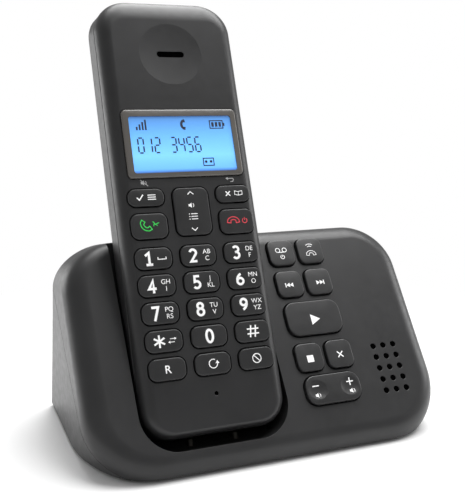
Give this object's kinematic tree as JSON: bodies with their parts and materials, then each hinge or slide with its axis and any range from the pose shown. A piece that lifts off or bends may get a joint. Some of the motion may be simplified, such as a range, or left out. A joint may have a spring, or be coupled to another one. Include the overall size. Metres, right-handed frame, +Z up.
{
  "type": "cordless telephone with answering machine base",
  "caption": "Cordless telephone: a slim black handset with a keypad and a lit display stands tilted in the cradle of a wedge shaped answering machine base with its own keys and loudspeaker.",
  "frame": {"origin": "centre of the bounding box in plan, on the table the feet stand on", "axes": "+Z up, +X to the right of a person who faces the keys, +Y away from that person"},
  "size_m": [0.1306, 0.0804, 0.1523],
  "materials": {
    "matt_black": "fine matt black moulded plastic",
    "satin_black": "satin black moulded plastic",
    "key_black": "black key caps with pale printed marks",
    "lens": "dark grey frame, clear over the display",
    "display": "blue backlight with dark segments",
    "board": "green solder resist",
    "key_rubber": "grey silicone",
    "foot_rubber": "black rubber",
    "steel": "plated steel",
    "contact": "gold coloured plating",
    "cell": "printed green sleeve over a metal can",
    "driver": "dark cone and steel cup"
  },
  "bodies": {
    "base": {"base_cover": "matt_black", "base_tray": "satin_black", "rubber_foot_1": "foot_rubber", "rubber_foot_2": "foot_rubber", "rubber_foot_3": "foot_rubber", "rubber_foot_4": "foot_rubber", "base_screw_1": "steel", "base_screw_2": "steel", "base_board": "board", "base_key_mat": "key_rubber", "loudspeaker": "driver", "line_board": "board", "socket_block": "satin_black"},
    "handset": {"handset_front": "matt_black", "handset_rear": "satin_black", "display_lens": "lens", "display_panel": "display", "handset_board": "board", "handset_key_mat": "key_rubber", "earpiece": "driver", "microphone": "steel", "ringer": "driver", "battery_cell_left": "cell", "battery_cell_right": "cell", "battery_bridge": "steel", "battery_terminals": "steel", "charge_pads": "contact", "handset_screw_1": "steel", "handset_screw_2": "steel"},
    "battery_door": {"battery_door": "satin_black"},
    "key_menu": {"key_menu": "key_black"},
    "key_back": {"key_back": "key_black"},
    "key_call": {"key_call": "key_black"},
    "key_end": {"key_end": "key_black"},
    "key_1": {"key_1": "key_black"},
    "key_2": {"key_2": "key_black"},
    "key_3": {"key_3": "key_black"},
    "key_4": {"key_4": "key_black"},
    "key_5": {"key_5": "key_black"},
    "key_6": {"key_6": "key_black"},
    "key_7": {"key_7": "key_black"},
    "key_8": {"key_8": "key_black"},
    "key_9": {"key_9": "key_black"},
    "key_star": {"key_star": "key_black"},
    "key_0": {"key_0": "key_black"},
    "key_hash": {"key_hash": "key_black"},
    "key_recall": {"key_recall": "key_black"},
    "key_redial": {"key_redial": "key_black"},
    "key_do_not_disturb": {"key_do_not_disturb": "key_black"},
    "key_answer_on_off": {"key_answer_on_off": "key_black"},
    "key_find_handset": {"key_find_handset": "key_black"},
    "key_skip_back": {"key_skip_back": "key_black"},
    "key_skip_forward": {"key_skip_forward": "key_black"},
    "key_play": {"key_play": "key_black"},
    "key_stop": {"key_stop": "key_black"},
    "key_delete": {"key_delete": "key_black"},
    "cradle_pin_left": {"cradle_pin_left": "contact"},
    "cradle_pin_right": {"cradle_pin_right": "contact"},
    "navigation_rocker": {"navigation_rocker": "key_black"},
    "volume_rocker": {"volume_rocker": "key_black"}
  },
  "joints": [
    {"name": "handset_lift", "type": "slide", "parent": "base", "child": "handset", "axis": [0, 0.3811, 0.9245], "range_m": [0, 0.085]},
    {"name": "battery_door_off", "type": "slide", "parent": "handset", "child": "battery_door", "axis": [0, 0.9245, -0.3811], "range_m": [0, 0.012]},
    {"name": "key_menu_press", "type": "slide", "parent": "handset", "child": "key_menu", "axis": [0, 0.9245, -0.3811], "range_m": [0, 0.0006], "stiffness_N_per_m": 1200},
    {"name": "key_back_press", "type": "slide", "parent": "handset", "child": "key_back", "axis": [0, 0.9245, -0.3811], "range_m": [0, 0.0006], "stiffness_N_per_m": 1200},
    {"name": "key_call_press", "type": "slide", "parent": "handset", "child": "key_call", "axis": [0, 0.9245, -0.3811], "range_m": [0, 0.0006], "stiffness_N_per_m": 1200},
    {"name": "key_end_press", "type": "slide", "parent": "handset", "child": "key_end", "axis": [0, 0.9245, -0.3811], "range_m": [0, 0.0006], "stiffness_N_per_m": 1200},
    {"name": "key_1_press", "type": "slide", "parent": "handset", "child": "key_1", "axis": [0, 0.9245, -0.3811], "range_m": [0, 0.0006], "stiffness_N_per_m": 1200},
    {"name": "key_2_press", "type": "slide", "parent": "handset", "child": "key_2", "axis": [0, 0.9245, -0.3811], "range_m": [0, 0.0006], "stiffness_N_per_m": 1200},
    {"name": "key_3_press", "type": "slide", "parent": "handset", "child": "key_3", "axis": [0, 0.9245, -0.3811], "range_m": [0, 0.0006], "stiffness_N_per_m": 1200},
    {"name": "key_4_press", "type": "slide", "parent": "handset", "child": "key_4", "axis": [0, 0.9245, -0.3811], "range_m": [0, 0.0006], "stiffness_N_per_m": 1200},
    {"name": "key_5_press", "type": "slide", "parent": "handset", "child": "key_5", "axis": [0, 0.9245, -0.3811], "range_m": [0, 0.0006], "stiffness_N_per_m": 1200},
    {"name": "key_6_press", "type": "slide", "parent": "handset", "child": "key_6", "axis": [0, 0.9245, -0.3811], "range_m": [0, 0.0006], "stiffness_N_per_m": 1200},
    {"name": "key_7_press", "type": "slide", "parent": "handset", "child": "key_7", "axis": [0, 0.9245, -0.3811], "range_m": [0, 0.0006], "stiffness_N_per_m": 1200},
    {"name": "key_8_press", "type": "slide", "parent": "handset", "child": "key_8", "axis": [0, 0.9245, -0.3811], "range_m": [0, 0.0006], "stiffness_N_per_m": 1200},
    {"name": "key_9_press", "type": "slide", "parent": "handset", "child": "key_9", "axis": [0, 0.9245, -0.3811], "range_m": [0, 0.0006], "stiffness_N_per_m": 1200},
    {"name": "key_star_press", "type": "slide", "parent": "handset", "child": "key_star", "axis": [0, 0.9245, -0.3811], "range_m": [0, 0.0006], "stiffness_N_per_m": 1200},
    {"name": "key_0_press", "type": "slide", "parent": "handset", "child": "key_0", "axis": [0, 0.9245, -0.3811], "range_m": [0, 0.0006], "stiffness_N_per_m": 1200},
    {"name": "key_hash_press", "type": "slide", "parent": "handset", "child": "key_hash", "axis": [0, 0.9245, -0.3811], "range_m": [0, 0.0006], "stiffness_N_per_m": 1200},
    {"name": "key_recall_press", "type": "slide", "parent": "handset", "child": "key_recall", "axis": [0, 0.9245, -0.3811], "range_m": [0, 0.0006], "stiffness_N_per_m": 1200},
    {"name": "key_redial_press", "type": "slide", "parent": "handset", "child": "key_redial", "axis": [0, 0.9245, -0.3811], "range_m": [0, 0.0006], "stiffness_N_per_m": 1200},
    {"name": "key_do_not_disturb_press", "type": "slide", "parent": "handset", "child": "key_do_not_disturb", "axis": [0, 0.9245, -0.3811], "range_m": [0, 0.0006], "stiffness_N_per_m": 1200},
    {"name": "key_answer_on_off_press", "type": "slide", "parent": "base", "child": "key_answer_on_off", "axis": [0, 0.8007, -0.599], "range_m": [0, 0.0008], "stiffness_N_per_m": 1200},
    {"name": "key_find_handset_press", "type": "slide", "parent": "base", "child": "key_find_handset", "axis": [0, 0.8007, -0.599], "range_m": [0, 0.0008], "stiffness_N_per_m": 1200},
    {"name": "key_skip_back_press", "type": "slide", "parent": "base", "child": "key_skip_back", "axis": [0, 0.8007, -0.599], "range_m": [0, 0.0008], "stiffness_N_per_m": 1200},
    {"name": "key_skip_forward_press", "type": "slide", "parent": "base", "child": "key_skip_forward", "axis": [0, 0.8007, -0.599], "range_m": [0, 0.0008], "stiffness_N_per_m": 1200},
    {"name": "key_play_press", "type": "slide", "parent": "base", "child": "key_play", "axis": [0, 0.8007, -0.599], "range_m": [0, 0.0008], "stiffness_N_per_m": 1200},
    {"name": "key_stop_press", "type": "slide", "parent": "base", "child": "key_stop", "axis": [0, 0.8007, -0.599], "range_m": [0, 0.0008], "stiffness_N_per_m": 1200},
    {"name": "key_delete_press", "type": "slide", "parent": "base", "child": "key_delete", "axis": [0, 0.8007, -0.599], "range_m": [0, 0.0008], "stiffness_N_per_m": 1200},
    {"name": "cradle_pin_left_press", "type": "slide", "parent": "base", "child": "cradle_pin_left", "axis": [0, -0.3811, -0.9245], "range_m": [0, 0.0005], "stiffness_N_per_m": 1200},
    {"name": "cradle_pin_right_press", "type": "slide", "parent": "base", "child": "cradle_pin_right", "axis": [0, -0.3811, -0.9245], "range_m": [0, 0.0005], "stiffness_N_per_m": 1200},
    {"name": "navigation_rock", "type": "hinge", "parent": "handset", "child": "navigation_rocker", "pos_m": [-0.02225, -0.00652, 0.08019], "axis": [1, 0, 0], "range_deg": [-3, 3], "stiffness_Nm_per_rad": 0.15},
    {"name": "volume_rock", "type": "hinge", "parent": "base", "child": "volume_rocker", "pos_m": [0.0214, -0.0286, 0.01772], "axis": [0, 0.599, 0.8007], "range_deg": [-3, 3], "stiffness_Nm_per_rad": 0.15}
  ]
}
